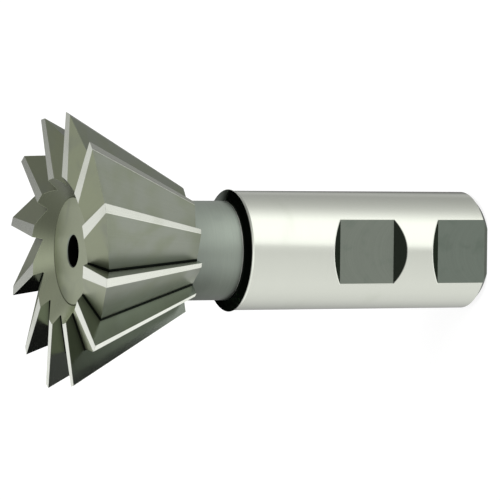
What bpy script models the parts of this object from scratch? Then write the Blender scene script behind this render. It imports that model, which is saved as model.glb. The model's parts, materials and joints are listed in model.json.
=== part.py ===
"""Dovetail cutter with a plain shank and two set-screw flats.

The tool is one piece of high speed steel. It stands on the end of its shank:
the axis is Z, the end of the shank lies at Z = 0 and the cutting face looks
up. The two flats on the shank look along -Y. Lengths are in metres.

The blank is turned first. Each of the twelve tooth spaces is then ground out
of it by one wheel shape, which has a side for the cone, a side for the face
and two clearance sides that leave the narrow lands behind the cutting edges.
"""

import math

import bmesh
import bpy
from mathutils import Matrix, Vector

MM = 0.001

# Head: the cone widens from its small end to the cutting face
HEAD_BACK_DIAMETER = 27.2 * MM
HEAD_WIDTH = 27.0 * MM
DOVETAIL_ANGLE = math.radians(60.0)

# Neck and shank
NECK_DIAMETER = 21.1 * MM
NECK_LENGTH = 11.5 * MM
SHOULDER_FILLET = 0.6 * MM
SHOULDER_CHAMFER = 0.35 * MM
SHANK_DIAMETER = 25.4 * MM
SHANK_LENGTH = 56.75 * MM
SHANK_END_CHAMFER = 1.0 * MM

# Set-screw flats, placed from the end of the shank
FLAT_DEPTH = 2.05 * MM
FLAT_WALL_ANGLE = math.radians(42.0)
FRONT_FLAT_START = 22.7 * MM
FRONT_FLAT_LENGTH = 12.65 * MM
REAR_FLAT_LENGTH = 12.1 * MM

# Recess, hub and centre holes
RECESS_DIAMETER = 31.2 * MM
RECESS_DEPTH = 3.5 * MM
HUB_DIAMETER = 22.8 * MM
HUB_HOLE_DIAMETER = 6.7 * MM
HUB_HOLE_DEPTH = 10.0 * MM
HUB_HOLE_CHAMFER = 0.3 * MM
DRILL_POINT_ANGLE = math.radians(118.0)
CENTRE_DIAMETER = 6.0 * MM
CENTRE_DRILL_DIAMETER = 2.5 * MM
CENTRE_DRILL_DEPTH = 6.5 * MM
CENTRE_ANGLE = math.radians(60.0)

# Teeth
TOOTH_COUNT = 12
FIRST_RAKE_ANGLE = math.radians(-9.0)
LAND_WIDTH = 1.9 * MM
CONE_CLEARANCE = math.radians(8.0)
FACE_CLEARANCE = math.radians(5.0)

# Bottom of a tooth space, in the next tooth's rake plane: how deep it lies below the tip,
# below the cutting face at the rim, below the face at the recess, and above the neck
SPACE_DEPTH_UNDER_TIP = 7.9 * MM
SPACE_DEPTH_AT_RIM = 3.5 * MM
SPACE_DEPTH_AT_RECESS = 1.8 * MM
SPACE_STEP_AT_NECK = 0.15 * MM
ROOT_BEVEL = 0.35 * MM
ROOT_BEVEL_STEPS = 2

# Stock left on the turned blank for the grinding of the teeth
GRINDING_STOCK = 0.4 * MM

TURNING_STEPS = 96
FILLET_STEPS = 4
SHARP_ANGLE = math.radians(30.0)
MERGE_DISTANCE = 0.001 * MM

STEEL_COLOUR = (0.42, 0.43, 0.40, 1.0)
STEEL_ROUGHNESS = 0.32

# Heights along the axis
SHOULDER_Z = SHANK_LENGTH
HEAD_BACK_Z = SHOULDER_Z + NECK_LENGTH
FACE_Z = HEAD_BACK_Z + HEAD_WIDTH

CONE_DRAFT = 1 / math.tan(DOVETAIL_ANGLE)
HEAD_BACK_RADIUS = HEAD_BACK_DIAMETER / 2
HEAD_RADIUS = HEAD_BACK_RADIUS + HEAD_WIDTH * CONE_DRAFT
NECK_RADIUS = NECK_DIAMETER / 2
SHANK_RADIUS = SHANK_DIAMETER / 2
RECESS_DRAFT = (RECESS_DIAMETER - HUB_DIAMETER) / 2 / RECESS_DEPTH
TOOTH_PITCH = 2 * math.pi / TOOTH_COUNT


def clear_scene():
    for old in list(bpy.data.objects):
        bpy.data.objects.remove(old, do_unlink=True)


def steel():
    material = bpy.data.materials.new("high_speed_steel")
    material.use_nodes = True
    shader = material.node_tree.nodes["Principled BSDF"]
    shader.inputs["Base Color"].default_value = STEEL_COLOUR
    shader.inputs["Roughness"].default_value = STEEL_ROUGHNESS
    shader.inputs["Metallic"].default_value = 1.0
    return material


def add_object(name, bm):
    bmesh.ops.recalc_face_normals(bm, faces=bm.faces)
    mesh = bpy.data.meshes.new(name)
    bm.to_mesh(mesh)
    bm.free()
    item = bpy.data.objects.new(name, mesh)
    bpy.context.scene.collection.objects.link(item)
    return item


def as_cutter(item):
    item.hide_render = True
    item.display_type = "WIRE"
    return item


def corner_arc(centre_radius, centre_z, fillet, start, end):
    """Points of a fillet in the turning profile, between two angles in degrees."""
    points = []
    for step in range(FILLET_STEPS + 1):
        angle = math.radians(start + (end - start) * step / FILLET_STEPS)
        points.append((centre_radius + fillet * math.cos(angle), centre_z + fillet * math.sin(angle)))
    return points


def shank_profile():
    """Half section from the bottom of the rear centre hole up to the neck."""
    centre_cone = (CENTRE_DIAMETER - CENTRE_DRILL_DIAMETER) / 2 / math.tan(CENTRE_ANGLE / 2)
    drill_tip = CENTRE_DRILL_DIAMETER / 2 / math.tan(DRILL_POINT_ANGLE / 2)
    profile = [
        (0.0, CENTRE_DRILL_DEPTH + drill_tip),
        (CENTRE_DRILL_DIAMETER / 2, CENTRE_DRILL_DEPTH),
        (CENTRE_DRILL_DIAMETER / 2, centre_cone),
        (CENTRE_DIAMETER / 2, 0.0),
        (SHANK_RADIUS - SHANK_END_CHAMFER, 0.0),
        (SHANK_RADIUS, SHANK_END_CHAMFER),
        (SHANK_RADIUS, SHOULDER_Z - SHOULDER_CHAMFER),
        (SHANK_RADIUS - SHOULDER_CHAMFER, SHOULDER_Z),
    ]
    arc_radius, arc_z = NECK_RADIUS + SHOULDER_FILLET, SHOULDER_Z + SHOULDER_FILLET
    return profile + corner_arc(arc_radius, arc_z, SHOULDER_FILLET, 270, 180)


def head_profile():
    """Half section of the head with its grinding stock, down to the bottom of the hub hole."""
    hub_z = FACE_Z - RECESS_DEPTH
    hole_radius = HUB_HOLE_DIAMETER / 2
    hole_bottom = hub_z - HUB_HOLE_DEPTH
    drill_tip = hole_radius / math.tan(DRILL_POINT_ANGLE / 2)
    return [
        (NECK_RADIUS, HEAD_BACK_Z),
        (HEAD_BACK_RADIUS + GRINDING_STOCK, HEAD_BACK_Z),
        (HEAD_RADIUS + GRINDING_STOCK * (1 + CONE_DRAFT), FACE_Z + GRINDING_STOCK),
        (RECESS_DIAMETER / 2 + GRINDING_STOCK * RECESS_DRAFT, FACE_Z + GRINDING_STOCK),
        (HUB_DIAMETER / 2, hub_z),
        (hole_radius + HUB_HOLE_CHAMFER, hub_z),
        (hole_radius, hub_z - HUB_HOLE_CHAMFER),
        (hole_radius, hole_bottom),
        (0.0, hole_bottom - drill_tip),
    ]


def turned_blank(name):
    bm = bmesh.new()
    points = [bm.verts.new((radius, 0.0, z)) for radius, z in shank_profile() + head_profile()]
    outline = [bm.edges.new(pair) for pair in zip(points, points[1:])]
    bmesh.ops.spin(
        bm, geom=points + outline, cent=(0, 0, 0), axis=(0, 0, 1),
        angle=2 * math.pi, steps=TURNING_STEPS, use_merge=True,
    )
    bmesh.ops.remove_doubles(bm, verts=bm.verts, dist=MERGE_DISTANCE)
    return add_object(name, bm)


def in_rake_plane(radius, depth, turn=0.0):
    """A point of a tooth's rake plane, turned clockwise about the axis, below the cutting face."""
    return Vector((radius * math.cos(turn), -radius * math.sin(turn), FACE_Z - depth))


def sweep(outline, along):
    """A closed prism from an outline and the way that it is swept."""
    bm = bmesh.new()
    face = bm.faces.new([bm.verts.new(point) for point in outline])
    swept = bmesh.ops.extrude_face_region(bm, geom=[face])["geom"]
    far = [part for part in swept if isinstance(part, bmesh.types.BMVert)]
    bmesh.ops.translate(bm, vec=along, verts=far)
    return bm


def planed_block(planes):
    """A block cut off by planes: each is a point on it and the way out of the block."""
    bm = bmesh.new()
    bmesh.ops.create_cube(bm, size=4 * HEAD_RADIUS, matrix=Matrix.Translation((0, 0, FACE_Z)))
    for point, out in planes:
        cut_here = bmesh.ops.bisect_plane(
            bm, geom=bm.verts[:] + bm.edges[:] + bm.faces[:], dist=MERGE_DISTANCE / 10,
            plane_co=point, plane_no=out, clear_outer=True,
        )["geom_cut"]
        rim = [part for part in cut_here if isinstance(part, bmesh.types.BMEdge)]
        bmesh.ops.contextual_create(bm, geom=rim)
    return bm


def round_roots(bm, lines):
    """Rounds the edges that lie on the given root lines, so that a space has no sharp bottom."""
    def on_line(vert, start, end):
        return (vert.co - start).cross((end - start).normalized()).length < ROOT_BEVEL / 10

    edges = [edge for edge in bm.edges
             if any(all(on_line(vert, start, end) for vert in edge.verts) for start, end in lines)]
    bmesh.ops.bevel(
        bm, geom=edges, offset=ROOT_BEVEL, offset_type="OFFSET", affect="EDGES",
        segments=ROOT_BEVEL_STEPS, profile=0.5, material=-1,
    )


def tooth_space_wheel():
    """The wheel for the space behind the tooth whose rake plane is X-Z: a block less that tooth."""
    up = Vector((0, 0, 1))
    behind = Vector((0, -1, 0))
    tip = in_rake_plane(HEAD_RADIUS, 0.0)
    heel = in_rake_plane(HEAD_BACK_RADIUS, HEAD_WIDTH)

    cone_edge = (heel - tip).normalized()
    cone_out = behind.cross(cone_edge)
    cone_land_out = cone_out * math.cos(CONE_CLEARANCE) + behind * math.sin(CONE_CLEARANCE)
    face_land_out = up * math.cos(FACE_CLEARANCE) + behind * math.sin(FACE_CLEARANCE)

    # The two lands meet in a short line that leaves the tip and ends where both tooth backs start
    meeting = face_land_out.cross(cone_land_out)
    crest = tip + meeting * (LAND_WIDTH / meeting.dot(behind))

    recess_radius = RECESS_DIAMETER / 2 - SPACE_DEPTH_AT_RECESS * RECESS_DRAFT
    corner = in_rake_plane(HEAD_RADIUS - SPACE_DEPTH_UNDER_TIP, SPACE_DEPTH_AT_RIM, TOOTH_PITCH)
    neck_end = in_rake_plane(NECK_RADIUS + SPACE_STEP_AT_NECK, HEAD_WIDTH, TOOTH_PITCH)
    hub_end = in_rake_plane(recess_radius, SPACE_DEPTH_AT_RECESS, TOOTH_PITCH)
    cone_back_out = (neck_end - corner).cross(crest - corner).normalized()
    face_back_out = (crest - corner).cross(hub_end - corner).normalized()

    outward = in_rake_plane(1.0, FACE_Z, TOOTH_PITCH)
    next_rake_out = outward.cross(up)
    block = planed_block([
        (corner, next_rake_out),
        (tip - behind * LAND_WIDTH, -behind),
        (outward * recess_radius / 2, -outward),
        (up * (HEAD_BACK_Z - SPACE_STEP_AT_NECK * 2), -up),
    ])
    tooth_back = planed_block([
        (tip, cone_land_out), (tip, face_land_out), (crest, cone_back_out), (crest, face_back_out),
    ])
    wheel = as_cutter(add_object("wheel_block", block))
    cut(wheel, as_cutter(add_object("tooth_back", tooth_back)))

    bm = bmesh.new()
    bm.from_mesh(finished_mesh(wheel))
    round_roots(bm, [(corner, neck_end), (corner, hub_end)])
    bmesh.ops.remove_doubles(bm, verts=bm.verts, dist=MERGE_DISTANCE)
    bmesh.ops.triangulate(bm, faces=bm.faces)
    return as_cutter(add_object("wheel", bm))


def finished_mesh(item):
    bpy.context.view_layer.update()
    return bpy.data.meshes.new_from_object(item.evaluated_get(bpy.context.evaluated_depsgraph_get()))


def grind_teeth(blank):
    """Grinds all the tooth spaces in one cut, so that they leave one clean solid."""
    wheel = tooth_space_wheel()
    spaces = bpy.data.collections.new("tooth_spaces")
    bpy.context.scene.collection.children.link(spaces)
    for tooth in range(TOOTH_COUNT):
        space = bpy.data.objects.new("tooth_space_%02d" % tooth, wheel.data)
        space.rotation_euler.z = FIRST_RAKE_ANGLE + tooth * TOOTH_PITCH
        spaces.objects.link(as_cutter(space))
    grind = blank.modifiers.new("tooth_spaces", "BOOLEAN")
    grind.operation = "DIFFERENCE"
    grind.solver = "EXACT"
    grind.operand_type = "COLLECTION"
    grind.collection = spaces


def cut(body, cutter):
    modifier = body.modifiers.new(cutter.name, "BOOLEAN")
    modifier.operation = "DIFFERENCE"
    modifier.solver = "EXACT"
    modifier.object = cutter


def flat_cutter(name, floor_start, floor_end, rear_wall=True):
    """A milled flat with sloping end walls; without its rear wall it runs out of the shank's end."""
    floor_y = -(SHANK_RADIUS - FLAT_DEPTH)
    rise = FLAT_DEPTH * 2
    run = rise / math.tan(FLAT_WALL_ANGLE)
    low_z = floor_start - (run if rear_wall else 0.0)
    outline = [
        Vector((-SHANK_RADIUS, floor_y, floor_start)),
        Vector((-SHANK_RADIUS, floor_y, floor_end)),
        Vector((-SHANK_RADIUS, floor_y - rise, floor_end + run)),
        Vector((-SHANK_RADIUS, floor_y - rise, low_z)),
    ]
    return as_cutter(add_object(name, sweep(outline, Vector((SHANK_DIAMETER, 0, 0)))))


def mill_flats(body):
    past_end = SHANK_END_CHAMFER
    cut(body, flat_cutter("front_flat", FRONT_FLAT_START, FRONT_FLAT_START + FRONT_FLAT_LENGTH))
    cut(body, flat_cutter("rear_flat", -past_end, REAR_FLAT_LENGTH, rear_wall=False))


def dovetail_cutter():
    body = turned_blank("dovetail_cutter")
    body.data.materials.append(steel())
    body.data.shade_smooth()
    body.data.set_sharp_from_angle(angle=SHARP_ANGLE)
    grind_teeth(body)
    mill_flats(body)
    return body


clear_scene()
dovetail_cutter()
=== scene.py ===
"""Dovetail cutter of high speed steel, standing on the end of its shank.

The piece is turned, ground and milled as the real one is, and every tool leaves
its own finish on the faces that it makes: a bright ground shank and lands, satin
tooth backs, a turned neck, a blackened shoulder and milled flats.
"""

import json
import math

import bmesh
import bpy
from mathutils import Matrix, Vector

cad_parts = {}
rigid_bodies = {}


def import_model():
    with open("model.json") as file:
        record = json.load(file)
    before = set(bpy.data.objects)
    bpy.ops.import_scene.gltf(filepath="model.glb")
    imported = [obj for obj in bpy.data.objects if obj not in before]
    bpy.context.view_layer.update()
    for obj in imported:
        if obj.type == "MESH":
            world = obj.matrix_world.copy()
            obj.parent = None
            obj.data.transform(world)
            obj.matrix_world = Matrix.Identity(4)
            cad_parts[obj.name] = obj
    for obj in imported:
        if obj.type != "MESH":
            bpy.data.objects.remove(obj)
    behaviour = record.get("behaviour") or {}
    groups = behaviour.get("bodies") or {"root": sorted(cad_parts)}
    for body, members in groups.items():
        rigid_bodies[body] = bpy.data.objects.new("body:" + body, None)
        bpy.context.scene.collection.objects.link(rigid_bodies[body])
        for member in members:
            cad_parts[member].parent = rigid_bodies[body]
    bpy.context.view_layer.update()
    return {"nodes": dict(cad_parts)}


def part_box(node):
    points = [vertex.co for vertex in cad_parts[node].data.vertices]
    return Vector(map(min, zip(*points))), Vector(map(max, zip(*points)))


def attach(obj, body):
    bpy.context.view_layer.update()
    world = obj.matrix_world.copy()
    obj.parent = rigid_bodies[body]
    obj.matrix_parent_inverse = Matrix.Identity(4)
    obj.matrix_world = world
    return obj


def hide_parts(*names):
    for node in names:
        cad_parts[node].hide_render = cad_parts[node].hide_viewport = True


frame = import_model()

MM = 0.001

# Head: the cone widens from its small end to the cutting face
HEAD_BACK_RADIUS = 13.6 * MM
HEAD_WIDTH = 27.0 * MM
DOVETAIL_ANGLE = math.radians(60.0)

# Neck and shank
NECK_RADIUS = 10.55 * MM
NECK_LENGTH = 11.5 * MM
SHOULDER_FILLET = 0.3 * MM
SHOULDER_FILLET_DEGREES = (235.0, 180.0)
SHOULDER_CONE = 0.9 * MM
NECK_RIM = 0.18 * MM
SHANK_RADIUS = 12.7 * MM
SHANK_END_CHAMFER = 1.2 * MM

# The grinding wheel stops short of the shoulder and leaves a thin black lip there
LIP_HEIGHT = 0.3 * MM
LIP_SLOPE = 0.55 * MM
LIP_CORNER = 0.1 * MM

# Set-screw flats, placed from the end of the shank
FLAT_DEPTH = 2.05 * MM
FLAT_WALL_ANGLE = math.radians(42.0)
FRONT_FLAT_START = 22.7 * MM
FRONT_FLAT_LENGTH = 12.65 * MM
REAR_FLAT_LENGTH = 12.1 * MM

# Recess, hub and centre holes
RECESS_RADIUS = 15.6 * MM
RECESS_DEPTH = 3.5 * MM
HUB_RADIUS = 11.4 * MM
HUB_GROOVE_WIDTH = 0.3 * MM
HUB_GROOVE_DEPTH = 0.15 * MM
HUB_HOLE_RADIUS = 3.35 * MM
HUB_HOLE_DEPTH = 10.0 * MM
HUB_HOLE_CHAMFER = 0.15 * MM
DRILL_POINT_ANGLE = math.radians(118.0)
CENTRE_RADIUS = 3.0 * MM
CENTRE_DRILL_RADIUS = 1.25 * MM
CENTRE_DRILL_DEPTH = 6.5 * MM
CENTRE_ANGLE = math.radians(60.0)

# Teeth and the spaces between them
TOOTH_COUNT = 12
FIRST_RAKE_ANGLE = math.radians(-9.0)
LAND_WIDTH = 1.9 * MM
CONE_CLEARANCE = math.radians(8.0)
FACE_CLEARANCE = math.radians(5.0)
SPACE_DEPTH_UNDER_TIP = 7.9 * MM
SPACE_DEPTH_AT_RIM = 3.5 * MM
SPACE_DEPTH_AT_RECESS = 1.8 * MM
SPACE_STEP_AT_NECK = 0.15 * MM
ROOT_BEVEL = 0.35 * MM
ROOT_BEVEL_STEPS = 3
GRINDING_STOCK = 0.4 * MM

FLAT_EDGE_BREAK = 0.12 * MM
END_BREAK_LENGTH = 0.8 * MM
END_BREAK_DEPTH = 0.2 * MM
TOOTH_EDGE_BREAK = 0.05 * MM
EDGE_BREAK_STEPS = 2

TURNING_STEPS = 240
FILLET_STEPS = 8
MERGE_DISTANCE = 0.001 * MM
SHORTEST_EDGE = 0.02 * MM
FLATNESS = math.radians(0.05)
SHARP_ANGLE = math.radians(12.0)

# Tool marks: how much more slowly they change along the tool's path than across it, and the
# end mill that swept the flats
MARK_STRETCH = 0.02
END_MILL_RADIUS = 8.0 * MM

# The part of a noise's values that is spread over a whole mask
MARKS_RANGE = (0.25, 0.75)
GRAIN_RANGE = (0.3, 0.7)

# A film starts where its noise passes this value less its cover, and is full this much higher
FILM_TOP = 0.85
FILM_FADE = 0.3

# An edge looks worn from the first to the second cosine between its own and the rounded normal
WORN_RANGE = (0.995, 0.90)

# How steeply the painted shade grows towards the bottom of a tooth space
GULLET_POWER = 3.0

# Sides of the tool where light or shade is painted into the colour, in order: a painted sheen on the
# shoulder, painted shade on the recess, painted shade on the neck, painted light on the tooth backs
# and painted shade on one rake. Each has the way there from the axis, and how near to it, as a
# cosine, the change starts and is full
SHOULDER_SHEEN_SIDE = ((0.62, 0.78, 0.0), 0.53, 1.02)
RECESS_SHADE_SIDE = ((1.0, 0.0, 0.0), -0.95, 0.60)
NECK_SHADE_SIDE = ((-1.0, 0.0, 0.0), 0.142, 0.758)
LIT_BACKS_SIDE = ((-1.0, 0.0, 0.0), 0.35, 0.75)
RAKE_SHADE_SIDE = ((-0.934, -0.358, 0.0), 0.89, 0.97)

# Heights along the axis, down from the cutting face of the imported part
cutter_node = frame["nodes"]["dovetail_cutter"]
FACE_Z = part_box(cutter_node.name)[1].z
HEAD_BACK_Z = FACE_Z - HEAD_WIDTH
SHOULDER_Z = HEAD_BACK_Z - NECK_LENGTH

CONE_DRAFT = 1 / math.tan(DOVETAIL_ANGLE)
HEAD_RADIUS = HEAD_BACK_RADIUS + HEAD_WIDTH * CONE_DRAFT
RECESS_DRAFT = (RECESS_RADIUS - HUB_RADIUS) / RECESS_DEPTH
TOOTH_PITCH = 2 * math.pi / TOOTH_COUNT
BLOCK_SIZE = 4 * HEAD_RADIUS


# Shape

def finish(name):
    """The place of a finish among the materials of each piece."""
    return list(materials).index(name)


def place_in_scene(name, data):
    item = bpy.data.objects.new(name, data)
    bpy.context.scene.collection.objects.link(item)
    return item


def mesh_object(name, bm, used_materials):
    mesh = bpy.data.meshes.new(name)
    bm.to_mesh(mesh)
    bm.free()
    for material in used_materials:
        mesh.materials.append(material)
    return place_in_scene(name, mesh)


def new_object(name, bm):
    """A closed piece that faces outward and has all the finishes."""
    bmesh.ops.recalc_face_normals(bm, faces=bm.faces)
    return mesh_object(name, bm, materials.values())


def finished_mesh(item):
    bpy.context.view_layer.update()
    evaluated = item.evaluated_get(bpy.context.evaluated_depsgraph_get())
    return bpy.data.meshes.new_from_object(evaluated)


def arc(centre_radius, centre_z, fillet, start, end):
    """Points of a fillet in the turning profile, between two angles in degrees."""
    points = []
    for step in range(FILLET_STEPS + 1):
        angle = math.radians(start + (end - start) * step / FILLET_STEPS)
        across, along = fillet * math.cos(angle), fillet * math.sin(angle)
        points.append((centre_radius + across, centre_z + along))
    return points


def turned_surfaces():
    """The turning profile, from the rear centre hole to the hub hole, as runs of one finish."""
    centre_cone = (CENTRE_RADIUS - CENTRE_DRILL_RADIUS) / math.tan(CENTRE_ANGLE / 2)
    point_height = CENTRE_DRILL_RADIUS / math.tan(DRILL_POINT_ANGLE / 2)
    hub_z = FACE_Z - RECESS_DEPTH
    hole_bottom = hub_z - HUB_HOLE_DEPTH
    hole_point = HUB_HOLE_RADIUS / math.tan(DRILL_POINT_ANGLE / 2)
    lip_radius = SHANK_RADIUS + LIP_HEIGHT
    lip_z = SHOULDER_Z - LIP_CORNER
    rim_z = SHOULDER_Z + SHOULDER_CONE
    return [
        ("bore", [
            (0.0, CENTRE_DRILL_DEPTH + point_height), (CENTRE_DRILL_RADIUS, CENTRE_DRILL_DEPTH),
            (CENTRE_DRILL_RADIUS, centre_cone), (CENTRE_RADIUS, 0.0),
        ]),
        ("turned_end", [
            (CENTRE_RADIUS, 0.0), (SHANK_RADIUS - SHANK_END_CHAMFER, 0.0),
            (SHANK_RADIUS, SHANK_END_CHAMFER),
        ]),
        ("ground_shank", [(SHANK_RADIUS, SHANK_END_CHAMFER), (SHANK_RADIUS, lip_z - LIP_SLOPE)]),
        ("bright_edge", [
            (SHANK_RADIUS, lip_z - LIP_SLOPE), (lip_radius, lip_z),
            (lip_radius - LIP_CORNER, SHOULDER_Z),
        ]),
        ("black_shoulder", [(lip_radius - LIP_CORNER, SHOULDER_Z)] + arc(
            NECK_RADIUS + SHOULDER_FILLET, rim_z, SHOULDER_FILLET, *SHOULDER_FILLET_DEGREES,
        )),
        ("bright_edge", [(NECK_RADIUS, rim_z), (NECK_RADIUS, rim_z + NECK_RIM)]),
        ("turned_neck", [(NECK_RADIUS, rim_z + NECK_RIM), (NECK_RADIUS, HEAD_BACK_Z)]),
        ("satin_cone_back", [
            (NECK_RADIUS, HEAD_BACK_Z), (HEAD_BACK_RADIUS + GRINDING_STOCK, HEAD_BACK_Z),
            (HEAD_RADIUS + GRINDING_STOCK * (1 + CONE_DRAFT), FACE_Z + GRINDING_STOCK),
        ]),
        ("satin_recess", [
            (HEAD_RADIUS + GRINDING_STOCK * (1 + CONE_DRAFT), FACE_Z + GRINDING_STOCK),
            (RECESS_RADIUS + GRINDING_STOCK * RECESS_DRAFT, FACE_Z + GRINDING_STOCK),
            (HUB_RADIUS, hub_z),
        ]),
        ("hub_groove", [
            (HUB_RADIUS, hub_z), (HUB_RADIUS - HUB_GROOVE_WIDTH / 2, hub_z - HUB_GROOVE_DEPTH),
            (HUB_RADIUS - HUB_GROOVE_WIDTH, hub_z),
        ]),
        ("satin_hub", [
            (HUB_RADIUS - HUB_GROOVE_WIDTH, hub_z), (HUB_HOLE_RADIUS + HUB_HOLE_CHAMFER, hub_z),
        ]),
        ("turned_neck", [
            (HUB_HOLE_RADIUS + HUB_HOLE_CHAMFER, hub_z),
            (HUB_HOLE_RADIUS, hub_z - HUB_HOLE_CHAMFER),
        ]),
        ("bore", [
            (HUB_HOLE_RADIUS, hub_z - HUB_HOLE_CHAMFER), (HUB_HOLE_RADIUS, hole_bottom),
            (0.0, hole_bottom - hole_point),
        ]),
    ]


def turned_blank(name):
    bm = bmesh.new()
    half_step = math.pi / TURNING_STEPS
    for finish_name, profile in turned_surfaces():
        before = set(bm.faces)
        points = [bm.verts.new((radius * math.cos(half_step), radius * math.sin(half_step), z))
                  for radius, z in profile]
        outline = [bm.edges.new(pair) for pair in zip(points, points[1:])]
        bmesh.ops.spin(
            bm, geom=points + outline, cent=(0, 0, 0), axis=(0, 0, 1),
            angle=2 * math.pi, steps=TURNING_STEPS, use_merge=True,
        )
        for face in set(bm.faces) - before:
            face.material_index = finish(finish_name)
    bmesh.ops.remove_doubles(bm, verts=bm.verts, dist=MERGE_DISTANCE)
    return new_object(name, bm)


def in_rake_plane(radius, depth, turn=0.0):
    """A point of a tooth's rake plane, turned clockwise about the axis, below the cutting face."""
    return Vector((radius * math.cos(turn), -radius * math.sin(turn), FACE_Z - depth))


def planed_block(centre, planes):
    """A block cut off by planes: each is a point on it, the way out of the block and a finish."""
    bm = bmesh.new()
    bmesh.ops.create_cube(bm, size=BLOCK_SIZE, matrix=Matrix.Translation(centre))
    for point, out, finish_name in planes:
        cut_here = bmesh.ops.bisect_plane(
            bm, geom=bm.verts[:] + bm.edges[:] + bm.faces[:], dist=MERGE_DISTANCE / 10,
            plane_co=point, plane_no=out, clear_outer=True,
        )["geom_cut"]
        rim = [part for part in cut_here if isinstance(part, bmesh.types.BMEdge)]
        for face in bmesh.ops.contextual_create(bm, geom=rim)["faces"]:
            face.material_index = finish(finish_name)
    return bm


def round_roots(bm, lines):
    """Rounds the edges that lie on the given root lines, so that a space has no sharp bottom, and
    gives the rounding the root finish: painted shade, near black.
    """
    def on_line(vert, start, end):
        return (vert.co - start).cross((end - start).normalized()).length < ROOT_BEVEL / 10

    edges = [edge for edge in bm.edges
             if any(all(on_line(vert, start, end) for vert in edge.verts) for start, end in lines)]
    rounded = bmesh.ops.bevel(
        bm, geom=edges, offset=ROOT_BEVEL, offset_type="OFFSET", affect="EDGES",
        segments=ROOT_BEVEL_STEPS, profile=0.5, material=-1,
    )
    for face in rounded["faces"]:
        face.material_index = finish("root")


def tooth_space_wheel():
    """The wheel for the space behind the tooth whose rake plane is X-Z: a block less that tooth."""
    up = Vector((0, 0, 1))
    behind = Vector((0, -1, 0))
    tip = in_rake_plane(HEAD_RADIUS, 0.0)
    heel = in_rake_plane(HEAD_BACK_RADIUS, HEAD_WIDTH)

    cone_edge = (heel - tip).normalized()
    cone_out = behind.cross(cone_edge)
    cone_land_out = cone_out * math.cos(CONE_CLEARANCE) + behind * math.sin(CONE_CLEARANCE)
    face_land_out = up * math.cos(FACE_CLEARANCE) + behind * math.sin(FACE_CLEARANCE)

    # The two lands meet in a short line that leaves the tip and ends where both tooth backs start
    meeting = face_land_out.cross(cone_land_out)
    crest = tip + meeting * (LAND_WIDTH / meeting.dot(behind))

    recess_radius = RECESS_RADIUS - SPACE_DEPTH_AT_RECESS * RECESS_DRAFT
    corner = in_rake_plane(HEAD_RADIUS - SPACE_DEPTH_UNDER_TIP, SPACE_DEPTH_AT_RIM, TOOTH_PITCH)
    neck_end = in_rake_plane(NECK_RADIUS + SPACE_STEP_AT_NECK, HEAD_WIDTH, TOOTH_PITCH)
    hub_end = in_rake_plane(recess_radius, SPACE_DEPTH_AT_RECESS, TOOTH_PITCH)
    cone_back_out = (neck_end - corner).cross(crest - corner).normalized()
    face_back_out = (crest - corner).cross(hub_end - corner).normalized()

    outward = in_rake_plane(1.0, FACE_Z, TOOTH_PITCH)
    block = planed_block(up * FACE_Z, [
        (corner, outward.cross(up), "rake"),
        (tip - behind * LAND_WIDTH, -behind, "rake"),
        (outward * recess_radius / 2, -outward, "rake"),
        (up * (HEAD_BACK_Z - SPACE_STEP_AT_NECK * 2), -up, "satin_cone_back"),
    ])
    tooth = planed_block(up * FACE_Z, [
        (tip, cone_land_out, "ground_land"), (tip, face_land_out, "ground_land"),
        (crest, cone_back_out, "satin_cone_back"), (crest, face_back_out, "satin_face_back"),
    ])
    wheel = new_object("wheel_block", block)
    tooth_back = new_object("tooth_back", tooth)
    cut(wheel, tooth_back)

    bm = bmesh.new()
    bm.from_mesh(finished_mesh(wheel))
    round_roots(bm, [(corner, neck_end), (corner, hub_end)])
    bmesh.ops.remove_doubles(bm, verts=bm.verts, dist=MERGE_DISTANCE)
    bmesh.ops.triangulate(bm, faces=bm.faces)
    for tool in (wheel, tooth_back):
        bpy.data.objects.remove(tool)
    return new_object("wheel", bm)


def cut(body, cutter):
    modifier = body.modifiers.new(cutter.name, "BOOLEAN")
    modifier.operation = "DIFFERENCE"
    modifier.solver = "EXACT"
    modifier.object = cutter


def grind_teeth(blank):
    """Grinds all the tooth spaces in one cut, so that they leave one clean solid."""
    wheel = tooth_space_wheel()
    spaces = bpy.data.collections.new("tooth_spaces")
    bpy.context.scene.collection.children.link(spaces)
    for tooth in range(TOOTH_COUNT):
        space = bpy.data.objects.new("tooth_space_%02d" % tooth, wheel.data)
        space.rotation_euler.z = FIRST_RAKE_ANGLE + tooth * TOOTH_PITCH
        spaces.objects.link(space)
    grind = blank.modifiers.new("tooth_spaces", "BOOLEAN")
    grind.operation = "DIFFERENCE"
    grind.solver = "EXACT"
    grind.operand_type = "COLLECTION"
    grind.collection = spaces
    return [wheel, *spaces.objects]


def flat_cutter(name, floor_start, floor_end):
    """A milled flat with sloping end walls; its floor has the finish of the same name."""
    floor_point = Vector((0, -(SHANK_RADIUS - FLAT_DEPTH), floor_start))
    far_point = floor_point + Vector((0, 0, floor_end - floor_start))
    wall_y, wall_z = math.sin(FLAT_WALL_ANGLE), math.cos(FLAT_WALL_ANGLE)
    return new_object(name, planed_block(Vector((0, -BLOCK_SIZE / 2, floor_start)), [
        (floor_point, Vector((0, 1, 0)), name),
        (floor_point, Vector((0, wall_z, -wall_y)), "flat_wall"),
        (far_point, Vector((0, wall_z, wall_y)), "flat_wall"),
    ]))


def end_break_cutter(name):
    """The slope that breaks the end of the rear flat."""
    start = Vector((0, -(SHANK_RADIUS - FLAT_DEPTH), END_BREAK_LENGTH))
    inward = Vector((0, END_BREAK_LENGTH, END_BREAK_DEPTH)).normalized()
    block = planed_block(start - inward * BLOCK_SIZE / 4, [(start, inward, "turned_end")])
    return new_object(name, block)


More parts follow.
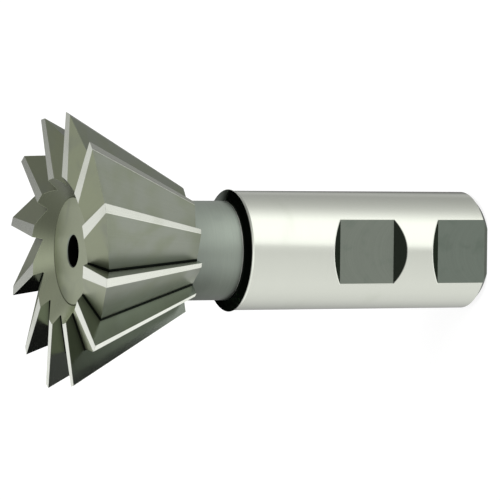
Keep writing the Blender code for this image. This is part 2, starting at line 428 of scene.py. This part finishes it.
def break_edges(bm, between, width):
    """Breaks the sharp outward edges between the given pairs of finishes, as deburring does."""
    wanted = [{finish(name) for name in pair} for pair in between]
    edges = [
        edge for edge in bm.edges
        if edge.is_convex and edge.calc_face_angle(0.0) > SHARP_ANGLE
        and {face.material_index for face in edge.link_faces} in wanted
        and edge.calc_length() > width
    ]
    broken = bmesh.ops.bevel(
        bm, geom=edges, offset=width, offset_type="OFFSET", affect="EDGES",
        segments=EDGE_BREAK_STEPS, profile=0.5, material=-1,
    )
    for face in broken["faces"]:
        face.material_index = finish("bright_edge")


def shade_round_surfaces(bm):
    """Smooth shading on turned surfaces, with every real edge left sharp."""
    for face in bm.faces:
        face.smooth = True
    for edge in bm.edges:
        one_finish = len({face.material_index for face in edge.link_faces}) == 1
        edge.smooth = one_finish and edge.calc_face_angle(math.pi) < SHARP_ANGLE


def dovetail_cutter():
    blank = turned_blank("dovetail_cutter_finished")
    wheels = grind_teeth(blank)
    mills = [
        flat_cutter("front_flat", FRONT_FLAT_START, FRONT_FLAT_START + FRONT_FLAT_LENGTH),
        flat_cutter("rear_flat", -REAR_FLAT_LENGTH, REAR_FLAT_LENGTH),
        end_break_cutter("end_break"),
    ]
    for mill in mills:
        cut(blank, mill)
    bm = bmesh.new()
    bm.from_mesh(finished_mesh(blank))
    for used in [blank, *wheels, *mills]:
        bpy.data.objects.remove(used)
    bmesh.ops.dissolve_limit(
        bm, angle_limit=FLATNESS, verts=bm.verts, edges=bm.edges, delimit={"MATERIAL"},
    )
    bmesh.ops.dissolve_degenerate(bm, edges=bm.edges, dist=SHORTEST_EDGE)
    break_edges(bm, [
        (flat, "ground_shank") for flat in ("front_flat", "rear_flat", "flat_wall")
    ], FLAT_EDGE_BREAK)
    break_edges(bm, [
        ("ground_land", "ground_land"), ("ground_land", "rake"),
        ("ground_land", "satin_cone_back"), ("ground_land", "satin_face_back"),
    ], TOOTH_EDGE_BREAK)
    shade_round_surfaces(bm)
    return new_object("cutter", bm)


# Finishes

def add_node(tree, kind, inputs=(), **settings):
    """A shader node with its settings; each of its inputs is a value or another node's output."""
    node = tree.nodes.new(kind)
    for name, value in settings.items():
        setattr(node, name, value)
    for socket, value in dict(inputs).items():
        if isinstance(value, bpy.types.NodeSocket):
            tree.links.new(value, node.inputs[socket])
        else:
            node.inputs[socket].default_value = value
    return node


def calculate(tree, operation, *values):
    """The output of a Math node for the given numbers or sockets."""
    return add_node(tree, "ShaderNodeMath", dict(enumerate(values)), operation=operation).outputs[0]


def effect_group(name, inputs, outputs):
    """An empty node group with named sockets: each name has its socket kind and start value."""
    group = bpy.data.node_groups.new(name, "ShaderNodeTree")
    for socket_name, (kind, start) in inputs.items():
        socket = group.interface.new_socket(name=socket_name, in_out="INPUT", socket_type=kind)
        socket.default_value = start
    for socket_name, kind in outputs.items():
        group.interface.new_socket(name=socket_name, in_out="OUTPUT", socket_type=kind)
    return group, group.nodes.new("NodeGroupInput").outputs, group.nodes.new("NodeGroupOutput")


def use_effect(tree, name, inputs=()):
    """The outputs of a shared effect."""
    return add_node(tree, "ShaderNodeGroup", inputs, node_tree=effects[name]).outputs


def object_place(tree):
    return add_node(tree, "ShaderNodeTexCoord").outputs["Object"]


def split(tree, vector):
    """The three numbers of a vector."""
    return add_node(tree, "ShaderNodeSeparateXYZ", {"Vector": vector}).outputs


def from_axis(tree, x, y):
    """How far a place lies from the tool's axis."""
    x_squared = calculate(tree, "MULTIPLY", x, x)
    y_squared = calculate(tree, "MULTIPLY", y, y)
    return calculate(tree, "SQRT", calculate(tree, "ADD", x_squared, y_squared))


def spread(tree, value, start, end, **settings):
    """A mask that goes from 0 to 1 while the value goes from start to end."""
    return add_node(tree, "ShaderNodeMapRange", {
        "Value": value, "From Min": start, "From Max": end,
    }, **settings).outputs["Result"]


def noise(tree, place, size, character):
    """A noise whose features have about the given size."""
    inputs = {"Vector": place, "Scale": calculate(tree, "DIVIDE", 1.0, size), **character}
    return add_node(tree, "ShaderNodeTexNoise", inputs).outputs[0]


def tool_paths_group():
    """The places along which marks change on turned, faced, ground and milled surfaces."""
    tree, _, result = effect_group("tool_paths", {}, {
        "Turned": "NodeSocketVector", "Faced": "NodeSocketVector", "Ground": "NodeSocketVector",
        "Milled": "NodeSocketVector",
    })
    x, y, z = split(tree, object_place(tree))
    radius = calculate(tree, "MAXIMUM", from_axis(tree, x, y), MERGE_DISTANCE)
    slow_x, slow_y, slow_z = (calculate(tree, "MULTIPLY", axis, MARK_STRETCH) for axis in (x, y, z))
    round_x = calculate(tree, "MULTIPLY", calculate(tree, "DIVIDE", x, radius), HEAD_RADIUS)
    round_y = calculate(tree, "MULTIPLY", calculate(tree, "DIVIDE", y, radius), HEAD_RADIUS)
    x_squared = calculate(tree, "MULTIPLY", x, x)
    under_root = calculate(tree, "SUBTRACT", END_MILL_RADIUS ** 2, x_squared)
    sweep = calculate(tree, "SQRT", calculate(tree, "MAXIMUM", under_root, 0.0))
    paths = {
        "Turned": (slow_x, slow_y, z), "Faced": (slow_x, slow_y, radius),
        "Ground": (round_x, round_y, slow_z),
        "Milled": (slow_x, slow_z, calculate(tree, "SUBTRACT", z, sweep)),
    }
    for name, axes in paths.items():
        path = add_node(tree, "ShaderNodeCombineXYZ", dict(enumerate(axes)))
        tree.links.new(path.outputs[0], result.inputs[name])
    return tree


def tool_marks_group():
    """Fine uneven lines that a tool leaves, stretched along its path."""
    tree, given, result = effect_group("tool_marks", {
        "Path": ("NodeSocketVector", (0, 0, 0)), "Spacing": ("NodeSocketFloat", 0.1 * MM),
    }, {"Marks": "NodeSocketFloat"})
    lines = noise(tree, given["Path"], given["Spacing"], {"Detail": 3.0, "Roughness": 0.6})
    tree.links.new(spread(tree, lines, *MARKS_RANGE), result.inputs["Marks"])
    return tree


def satin_grain_group():
    """The fine crystalline grain of steel that was blasted or etched after hardening."""
    tree, given, result = effect_group("satin_grain", {
        "Size": ("NodeSocketFloat", 0.2 * MM),
    }, {"Grain": "NodeSocketFloat"})
    crystals = noise(tree, object_place(tree), given["Size"], {"Detail": 4.0, "Roughness": 0.65})
    tree.links.new(spread(tree, crystals, *GRAIN_RANGE), result.inputs["Grain"])
    return tree


def oil_film_group():
    """Soft patches where a film of oil or of heat colour lies on the steel."""
    tree, given, result = effect_group("oil_film", {
        "Size": ("NodeSocketFloat", 6.0 * MM), "Cover": ("NodeSocketFloat", 0.5),
    }, {"Film": "NodeSocketFloat"})
    pools = noise(tree, object_place(tree), given["Size"], {
        "Detail": 2.0, "Roughness": 0.45, "Distortion": 0.4,
    })
    bare = calculate(tree, "SUBTRACT", FILM_TOP, given["Cover"])
    covered = calculate(tree, "ADD", bare, FILM_FADE)
    patches = spread(tree, pools, bare, covered, interpolation_type="SMOOTHSTEP")
    tree.links.new(patches, result.inputs["Film"])
    return tree


def worn_edges_group():
    """A mask of the edges, which handling and the holder rub bright."""
    tree, given, result = effect_group("worn_edges", {
        "Width": ("NodeSocketFloat", 0.2 * MM),
    }, {"Worn": "NodeSocketFloat"})
    rounded = add_node(tree, "ShaderNodeBevel", {"Radius": given["Width"]}, samples=4)
    flat = add_node(tree, "ShaderNodeNewGeometry").outputs["Normal"]
    same = add_node(
        tree, "ShaderNodeVectorMath", {0: rounded.outputs[0], 1: flat}, operation="DOT_PRODUCT",
    )
    tree.links.new(spread(tree, same.outputs["Value"], *WORN_RANGE), result.inputs["Worn"])
    return tree


def painted_gullet_shade_group():
    """A mask that grows towards the bottom of a tooth space, where shade is painted."""
    tree, given, result = effect_group("gullet_shade", {
        "Reach": ("NodeSocketFloat", 4.0 * MM),
    }, {"Shade": "NodeSocketFloat"})
    x, y, _ = split(tree, object_place(tree))
    turn = calculate(tree, "SUBTRACT", calculate(tree, "ARCTAN2", y, x), FIRST_RAKE_ANGLE)
    past_rake = calculate(tree, "FLOORED_MODULO", turn, TOOTH_PITCH)
    across = calculate(tree, "SINE", past_rake)
    distance = calculate(tree, "MULTIPLY", from_axis(tree, x, y), across)
    near = calculate(tree, "SUBTRACT", 1.0, calculate(tree, "DIVIDE", distance, given["Reach"]))
    shade = calculate(tree, "POWER", calculate(tree, "MAXIMUM", near, 0.0), GULLET_POWER)
    tree.links.new(shade, result.inputs["Shade"])
    return tree


def painted_side_group():
    """A mask that grows towards one side of the tool, where light or shade is painted into the
    colour.
    """
    tree, given, result = effect_group("one_side", {
        "Side": ("NodeSocketVector", (0, 0, 0)), "Start": ("NodeSocketFloat", 0.0),
        "Full": ("NodeSocketFloat", 1.0),
    }, {"Share": "NodeSocketFloat"})
    level = add_node(
        tree, "ShaderNodeVectorMath", {0: object_place(tree), 1: (1, 1, 0)}, operation="MULTIPLY",
    )
    way = add_node(tree, "ShaderNodeVectorMath", {0: level.outputs[0]}, operation="NORMALIZE")
    side = add_node(
        tree, "ShaderNodeVectorMath", {0: way.outputs[0], 1: given["Side"]}, operation="DOT_PRODUCT",
    )
    share = spread(
        tree, side.outputs["Value"], given["Start"], given["Full"], interpolation_type="SMOOTHSTEP",
    )
    tree.links.new(share, result.inputs["Share"])
    return tree


def tinted(tree, colour, other, share):
    """Two colours mixed by a mask."""
    inputs = {"Factor": share, 6: colour, 7: other}
    return add_node(tree, "ShaderNodeMix", inputs, data_type="RGBA").outputs[2]


def worked_steel(
    name, colour, film_colour, roughness, path, spacing, *,
    marks_tint=0.1, grain_tint=0.08, mark_depth=0.002 * MM, grain_depth=0.002 * MM,
    grain_size=0.18 * MM, grain_roughness=0.04,
    film_size=7.0 * MM, film_cover=0.35, film_roughness=0.05,
    edge_colour=None, edge_width=0.12 * MM, painted_side_colour=None, side=None,
    painted_gullet_shade_colour=None, gullet_reach=None, sockets=None,
):
    """Steel with the marks of the tool that made it, a satin grain and patches of film.

    path and spacing say which way the marks run and how far apart they are. marks_tint and
    grain_tint say how much they vary the steel's colour, and the depths are heights in metres.
    film_roughness and grain_roughness dull the steel. edge_colour shows on rubbed edges, the
    colour for one side is painted light or shade there, and the gullet colour is painted shade at
    the bottom of the tooth spaces.
    """
    material = bpy.data.materials.new(name)
    material.use_nodes = True
    tree = material.node_tree
    shader = tree.nodes["Principled BSDF"]
    for socket, value in {"Metallic": 1.0, **(sockets or {})}.items():
        shader.inputs[socket].default_value = value

    paths = use_effect(tree, "tool_paths")
    marks = use_effect(tree, "tool_marks", {"Path": paths[path], "Spacing": spacing})["Marks"]
    grain = use_effect(tree, "satin_grain", {"Size": grain_size})["Grain"]
    film = use_effect(tree, "oil_film", {"Size": film_size, "Cover": film_cover})["Film"]
    worn = use_effect(tree, "worn_edges", {"Width": edge_width})["Worn"]

    steel = tinted(tree, (*colour, 1), (*film_colour, 1), film)
    # Light or shade painted on one side of the tool
    if painted_side_colour:
        share = use_effect(tree, "one_side", dict(zip(("Side", "Start", "Full"), side)))["Share"]
        steel = tinted(tree, steel, (*painted_side_colour, 1), share)
    # Painted shade at the bottom of the tooth spaces
    if painted_gullet_shade_colour:
        shade = use_effect(tree, "gullet_shade", {"Reach": gullet_reach})["Shade"]
        steel = tinted(tree, steel, (*painted_gullet_shade_colour, 1), shade)
    steel = tinted(tree, steel, (*(edge_colour or colour), 1), worn)
    light = calculate(tree, "MULTIPLY_ADD", marks, marks_tint, 1 - marks_tint / 2)
    grain_light = calculate(tree, "MULTIPLY_ADD", grain, grain_tint, 1 - grain_tint / 2)
    light = calculate(tree, "MULTIPLY", light, grain_light)
    shaded = add_node(tree, "ShaderNodeVectorMath", {0: steel, "Scale": light}, operation="SCALE")
    tree.links.new(shaded.outputs[0], shader.inputs["Base Color"])

    dulled = calculate(tree, "MULTIPLY_ADD", film, film_roughness, roughness)
    dulled = calculate(tree, "MULTIPLY_ADD", grain, grain_roughness, dulled)
    tree.links.new(dulled, shader.inputs["Roughness"])

    height = calculate(tree, "MULTIPLY", marks, mark_depth)
    height = calculate(tree, "MULTIPLY_ADD", grain, grain_depth, height)
    relief = add_node(tree, "ShaderNodeBump", {"Height": height, "Distance": 1.0, "Strength": 1.0})
    tree.links.new(relief.outputs[0], shader.inputs["Normal"])
    return material


effects = {group.name: group for group in (
    tool_paths_group(), tool_marks_group(), satin_grain_group(), oil_film_group(),
    worn_edges_group(), painted_gullet_shade_group(), painted_side_group(),
)}

# Colours of the steel, each with that of the film on it
GROUND, GROUND_FILM = (0.80, 0.825, 0.74), (0.74, 0.77, 0.67)
SATIN_FACE, SATIN_FACE_FILM = (0.393, 0.428, 0.297), (0.36, 0.39, 0.30)
SATIN_CONE, SATIN_CONE_FILM = (0.305, 0.328, 0.275), (0.29, 0.318, 0.24)
SATIN_RECESS, SATIN_RECESS_FILM = (0.80, 0.87, 0.61), (0.73, 0.80, 0.575)
SATIN_HUB = (0.44, 0.48, 0.335)
GROOVE, GROOVE_FILM = (0.20, 0.22, 0.15), (0.18, 0.20, 0.14)
RAKE, RAKE_FILM = (0.37, 0.41, 0.35), (0.34, 0.37, 0.32)
NECK, NECK_FILM = (0.43, 0.485, 0.42), (0.40, 0.45, 0.40)
FLAT, FLAT_FILM = (0.235, 0.262, 0.222), (0.21, 0.245, 0.205)
SHADED_FLAT, SHADED_FLAT_FILM = (0.19, 0.222, 0.187), (0.165, 0.20, 0.165)
WALL_SHADE, WALL_SHADE_FILM = (0.08, 0.10, 0.075), (0.09, 0.11, 0.085)
END, END_FILM = (0.12, 0.135, 0.115), (0.10, 0.115, 0.10)
# Black of the shoulder's oxide, also painted shade on the roots
BLACK_OXIDE_AND_SHADE, BLACK_FILM = (0.016, 0.020, 0.016), (0.03, 0.033, 0.028)
ROOT_SHADE_FILM = (0.03, 0.032, 0.024)
# The holes' painted shade, near black
BORE_SHADE, BORE_SHADE_FILM = (0.02, 0.02, 0.018), (0.03, 0.03, 0.025)

# Colours painted into the steel where light or shade falls, and one where a coat is worn off:
# painted light on the tooth backs, painted shade on the recess, a rake, the neck and the bottom of
# the tooth spaces, a painted sheen on the shoulder, and the shoulder's worn edges
PAINTED_LIGHT_CONE = (0.49, 0.53, 0.445)
PAINTED_LIGHT_FACE = (0.55, 0.60, 0.415)
PAINTED_RECESS_SHADE = (0.175, 0.192, 0.133)
PAINTED_RAKE_SHADE = (0.205, 0.23, 0.195)
PAINTED_NECK_SHADE = (0.235, 0.265, 0.225)
# Painted grey sheen on one side of the blackened shoulder
PAINTED_SHOULDER_SHEEN = (0.75, 0.80, 0.75)
OXIDE_EDGE = (0.10, 0.11, 0.10)
PAINTED_GULLET_SHADE = (0.10, 0.11, 0.075)

BACK_MARKS = {"mark_depth": 0.0015 * MM, "grain_tint": 0.07}
FLAT_MARKS = {
    "marks_tint": 0.09, "grain_tint": 0.06, "grain_depth": 0.001 * MM, "film_size": 3.5 * MM,
}
DARK_EDGE = {"Specular Tint": (0.08, 0.09, 0.07, 1)}
BRUSHED_ROUND = {"Anisotropic": 0.5, "Anisotropic Rotation": 0.25}

materials = {steel.name: steel for steel in (
    worked_steel(
        "ground_shank", GROUND, GROUND_FILM, 0.11, "Turned", 0.16 * MM, marks_tint=0.03,
        grain_tint=0.01, mark_depth=0.0004 * MM, grain_depth=0.0, film_size=14 * MM,
        film_cover=0.3, film_roughness=0.03, sockets=BRUSHED_ROUND,
    ),
    worked_steel(
        "ground_land", GROUND, GROUND_FILM, 0.17, "Ground", 0.12 * MM, marks_tint=0.06,
        grain_tint=0.03, mark_depth=0.0008 * MM, grain_depth=0.0005 * MM,
    ),
    # Cone backs: painted light on the tool's -X side, painted shade towards the bottom of each tooth
    # space
    worked_steel(
        "satin_cone_back", SATIN_CONE, SATIN_CONE_FILM, 0.36, "Ground", 0.35 * MM, marks_tint=0.05,
        film_cover=0.45, painted_gullet_shade_colour=PAINTED_GULLET_SHADE, gullet_reach=1.5 * MM, painted_side_colour=PAINTED_LIGHT_CONE,
        side=LIT_BACKS_SIDE, sockets={"Metallic": 0.9}, **BACK_MARKS,
    ),
    # Face backs: painted light on the tool's -X side, painted shade towards the bottom of each tooth
    # space
    worked_steel(
        "satin_face_back", SATIN_FACE, SATIN_FACE_FILM, 0.36, "Ground", 0.35 * MM, marks_tint=0.04,
        painted_gullet_shade_colour=PAINTED_GULLET_SHADE, gullet_reach=3.2 * MM, painted_side_colour=PAINTED_LIGHT_FACE, side=LIT_BACKS_SIDE,
        **BACK_MARKS,
    ),
    # The recess, with painted shade towards +X over its bright colour
    worked_steel(
        "satin_recess", SATIN_RECESS, SATIN_RECESS_FILM, 0.22, "Faced", 0.2 * MM, marks_tint=0.05,
        painted_side_colour=PAINTED_RECESS_SHADE, side=RECESS_SHADE_SIDE, **BACK_MARKS,
    ),
    worked_steel(
        "satin_hub", SATIN_HUB, SATIN_FACE_FILM, 0.30, "Faced", 0.2 * MM, marks_tint=0.05,
        **BACK_MARKS,
    ),
    worked_steel("hub_groove", GROOVE, GROOVE_FILM, 0.4, "Faced", 0.2 * MM),
    # The rakes, with painted shade on the one that faces -X-Y
    worked_steel(
        "rake", RAKE, RAKE_FILM, 0.17, "Ground", 0.12 * MM, marks_tint=0.08, painted_side_colour=PAINTED_RAKE_SHADE,
        side=RAKE_SHADE_SIDE,
    ),
    # The rounded bottom of each tooth space, painted near black as shade
    worked_steel("root", BLACK_OXIDE_AND_SHADE, ROOT_SHADE_FILM, 0.5, "Ground", 0.2 * MM, sockets=DARK_EDGE),
    # The neck, with painted shade on its -X side
    worked_steel(
        "turned_neck", NECK, NECK_FILM, 0.34, "Turned", 0.22 * MM, grain_tint=0.06,
        mark_depth=0.003 * MM, grain_depth=0.0015 * MM, painted_side_colour=PAINTED_NECK_SHADE, side=NECK_SHADE_SIDE,
    ),
    # The blackened shoulder, with a painted grey sheen on its +X+Y side
    worked_steel(
        "black_shoulder", BLACK_OXIDE_AND_SHADE, BLACK_FILM, 0.35, "Faced", 0.2 * MM, edge_colour=OXIDE_EDGE,
        painted_side_colour=PAINTED_SHOULDER_SHEEN, side=SHOULDER_SHEEN_SIDE, sockets=DARK_EDGE,
    ),
    worked_steel("front_flat", FLAT, FLAT_FILM, 0.42, "Milled", 0.4 * MM, **FLAT_MARKS),
    # The rear flat, a darker copy of the front flat's colour: painted shade
    worked_steel("rear_flat", SHADED_FLAT, SHADED_FLAT_FILM, 0.42, "Milled", 0.4 * MM, **FLAT_MARKS),
    # The walls of the flats, painted darker than the flats as shade
    worked_steel("flat_wall", WALL_SHADE, WALL_SHADE_FILM, 0.4, "Milled", 0.3 * MM, sockets=DARK_EDGE),
    worked_steel(
        "turned_end", END, END_FILM, 0.42, "Faced", 0.2 * MM, marks_tint=0.15,
        mark_depth=0.003 * MM,
    ),
    # The holes, painted near black as shade
    worked_steel(
        "bore", BORE_SHADE, BORE_SHADE_FILM, 0.5, "Turned", 0.3 * MM, mark_depth=0.004 * MM, sockets=DARK_EDGE,
    ),
    worked_steel("bright_edge", GROUND, GROUND_FILM, 0.28, "Turned", 0.2 * MM, marks_tint=0.05),
)}

cutter = dovetail_cutter()
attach(cutter, "root")
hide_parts("dovetail_cutter")


# Studio

# The photograph's camera
CAMERA_RIGHT = (0.010431, -0.403547, -0.9149)
CAMERA_UP = (0.99947, 0.032438, -0.002913)
CAMERA_PLACE = (0.020243, -0.597587, 0.315354)
CAMERA_LENS = 220.99
CAMERA_SENSOR = 36.0

FLOOR_SIZE = 6.0
FLOOR_SHADOW_SHARE = 0.25

LAMP_PLACE = (0.25, -0.20, 0.90)
LAMP_SIZE = 0.6
LAMP_POWER = 6.0

# The shank mirrors what lies this far down; the bright panel's edge slants there
SHANK_MIRROR_Z = -0.404
PANEL_SLANT = 15.0
SLANT_REACH = 0.10

# Rings of panels, each with a direction in degrees from the camera and a grey: level with the tool,
# above it and below it
LOW_PANELS = [
    (-180, 0.98), (-176, 0.50), (-165, 0.35), (-150, 0.42), (-125, 0.61), (-109, 0.72),
    (-85, 0.81), (-64, 0.83), (-20, 0.77), (13.8, 0.70), (14.6, 1.30), (66, 1.30), (79, 0.95),
    (90, 0.70), (101, 0.57), (115, 0.48), (134, 0.40), (150, 0.50), (157, 0.38), (165, 0.20),
    (180, 0.20),
]
HIGH_PANELS = [
    (-180, 0.46), (-178, 0.60), (-176, 0.84), (-173, 0.90), (-168, 0.78), (-163, 0.70),
    (-150, 0.66), (-90, 0.50), (0, 0.12), (90, 0.25), (150, 0.22), (165, 0.27), (177, 0.22),
    (180, 0.50),
]
UNDER_PANELS = [
    (-180, 0.60), (-137, 1.12), (-112, 1.00), (-90, 0.80), (-70, 1.30), (24, 1.00), (61, 0.93),
    (100, 0.46), (128, 0.26), (150, 0.40), (180, 0.75),
]
ZENITH_GREY = (0.75, 0.75, 0.75, 1)

# Heights of the way out, as a sine, where the next ring starts and is full
HIGH_FROM = (-0.05, 0.45)
UNDER_FROM = (-0.50, -0.72)
ZENITH_FROM = (0.92, 0.98)

# A dark card round the head: below the way to its lands and above the way to its neck. Its
# ends and its paint have directions in degrees from the camera too
CARD_RADIUS = 0.080
CARD_HEIGHTS = (0.041, 0.092)
CARD_START = 125.0
CARD_END = -184.0
CARD_STEPS = 60
CARD_PAINT = [
    (-180, 0.004), (-120, 0.004), (-81, 0.025), (-50, 0.06), (-22, 0.165), (38, 0.06), (62, 0.14),
    (85, 0.60), (125, 0.70),
]


def camera():
    """The photograph's view: the tool lies across the picture with its head to the left."""
    right = Vector(CAMERA_RIGHT)
    up = Vector(CAMERA_UP)
    view = Matrix((right, up, right.cross(up))).transposed().to_4x4()
    view.translation = Vector(CAMERA_PLACE)
    data = bpy.data.cameras.new("camera")
    data.sensor_width = CAMERA_SENSOR
    data.lens = CAMERA_LENS
    item = place_in_scene("camera", data)
    item.matrix_world = view
    bpy.context.scene.camera = item


def round_the_tool(tree, way):
    """The place on a ramp of a way from the axis: 0.5 towards the camera, more towards +X."""
    x, y, _ = split(tree, way)
    turn = calculate(tree, "ARCTAN2", x, calculate(tree, "MULTIPLY", y, -1.0))
    return calculate(tree, "MULTIPLY_ADD", turn, 1 / (2 * math.pi), 0.5)


def panels(tree, place, stops):
    """The brightness of a ring of panels, whose stops are in order of their direction."""
    node = add_node(tree, "ShaderNodeValToRGB", {"Fac": place})
    elements = node.color_ramp.elements
    for index, (degrees, grey) in enumerate(stops):
        stop = elements[index] if index < len(elements) else elements.new(1.0)
        stop.position = degrees / 360 + 0.5
        stop.color = (grey, grey, grey, 1)
    return node.outputs["Color"]


def studio_world():
    """Panels round the tool, which its bright steel mirrors. The camera sees plain white."""
    world = bpy.data.worlds.new("studio")
    world.use_nodes = True
    tree = world.node_tree
    tree.nodes.clear()
    way = add_node(tree, "ShaderNodeTexCoord").outputs["Generated"]
    z = split(tree, way)["Z"]
    place = round_the_tool(tree, way)
    slant = add_node(tree, "ShaderNodeMapRange", {
        "Value": z,
        "From Min": SHANK_MIRROR_Z - SLANT_REACH, "From Max": SHANK_MIRROR_Z + SLANT_REACH,
        "To Min": PANEL_SLANT / 360, "To Max": -PANEL_SLANT / 360,
    }).outputs["Result"]
    all_round = panels(tree, calculate(tree, "ADD", place, slant), LOW_PANELS)
    for next_ring, heights in (
        (panels(tree, place, HIGH_PANELS), HIGH_FROM), (ZENITH_GREY, ZENITH_FROM),
        (panels(tree, place, UNDER_PANELS), UNDER_FROM),
    ):
        share = spread(tree, z, *heights, interpolation_type="SMOOTHSTEP")
        all_round = tinted(tree, all_round, next_ring, share)

    rays = add_node(tree, "ShaderNodeLightPath").outputs
    studio = add_node(tree, "ShaderNodeBackground", {"Color": all_round})
    white = add_node(tree, "ShaderNodeBackground", {"Color": (1, 1, 1, 1)})
    seen = add_node(tree, "ShaderNodeMixShader", {
        0: rays["Is Camera Ray"], 1: studio.outputs[0], 2: white.outputs[0],
    })
    add_node(tree, "ShaderNodeOutputWorld", {"Surface": seen.outputs[0]})
    bpy.context.scene.world = world


def stage_material(name):
    """A material without nodes yet, and its tree."""
    material = bpy.data.materials.new(name)
    material.use_nodes = True
    material.node_tree.nodes.clear()
    return material, material.node_tree


def floor():
    """A white floor that keeps a soft shadow of the tool, and is open to a view from below."""
    material, tree = stage_material("floor_white")
    paint = add_node(tree, "ShaderNodeBsdfDiffuse", {"Color": (*[FLOOR_SHADOW_SHARE] * 3, 1)})
    rays = add_node(tree, "ShaderNodeLightPath").outputs
    glow = add_node(tree, "ShaderNodeEmission", {"Strength": 1 - FLOOR_SHADOW_SHARE / 2})
    seen_glow = add_node(tree, "ShaderNodeMixShader", {
        0: rays["Is Camera Ray"], 2: glow.outputs[0],
    })
    both = add_node(tree, "ShaderNodeAddShader", {0: paint.outputs[0], 1: seen_glow.outputs[0]})
    underside = add_node(tree, "ShaderNodeNewGeometry").outputs["Backfacing"]
    clear = add_node(tree, "ShaderNodeBsdfTransparent")
    one_way = add_node(tree, "ShaderNodeMixShader", {
        0: underside, 1: both.outputs[0], 2: clear.outputs[0],
    })
    add_node(tree, "ShaderNodeOutputMaterial", {"Surface": one_way.outputs[0]})

    bm = bmesh.new()
    bmesh.ops.create_grid(bm, x_segments=1, y_segments=1, size=FLOOR_SIZE / 2)
    item = mesh_object("floor", bm, [material])
    item.visible_glossy = False


def dark_card():
    """A curved card beside the head, which only reflections show: the tooth rakes mirror it."""
    material, tree = stage_material("card_paint")
    brightness = panels(tree, round_the_tool(tree, object_place(tree)), CARD_PAINT)
    paint = add_node(tree, "ShaderNodeEmission", {"Color": brightness})
    add_node(tree, "ShaderNodeOutputMaterial", {"Surface": paint.outputs[0]})

    bm = bmesh.new()
    corner = Matrix.Rotation(math.radians(CARD_START - 90.0), 3, "Z") @ Vector((CARD_RADIUS, 0, 0))
    ends = [bm.verts.new(corner + Vector((0, 0, height))) for height in CARD_HEIGHTS]
    side = bm.edges.new(ends)
    bmesh.ops.spin(
        bm, geom=[*ends, side], cent=(0, 0, 0), axis=(0, 0, 1),
        angle=math.radians(CARD_END - CARD_START), steps=CARD_STEPS,
    )
    item = mesh_object("dark_card", bm, [material])
    item.visible_camera = False
    item.visible_diffuse = False


def overhead_lamp():
    """A square lamp that looks at the middle of the tool and lights the floor's shadow."""
    data = bpy.data.lights.new("overhead_lamp", "AREA")
    data.size = LAMP_SIZE
    data.energy = LAMP_POWER
    item = place_in_scene("overhead_lamp", data)
    item.location = LAMP_PLACE
    from_tool = Vector(LAMP_PLACE) - Vector((0, 0, FACE_Z / 2))
    item.rotation_euler = from_tool.to_track_quat("Z", "Y").to_euler()
    item.visible_glossy = False


camera()
studio_world()
floor()
dark_card()
overhead_lamp()
bpy.context.scene.view_settings.view_transform = "Standard"
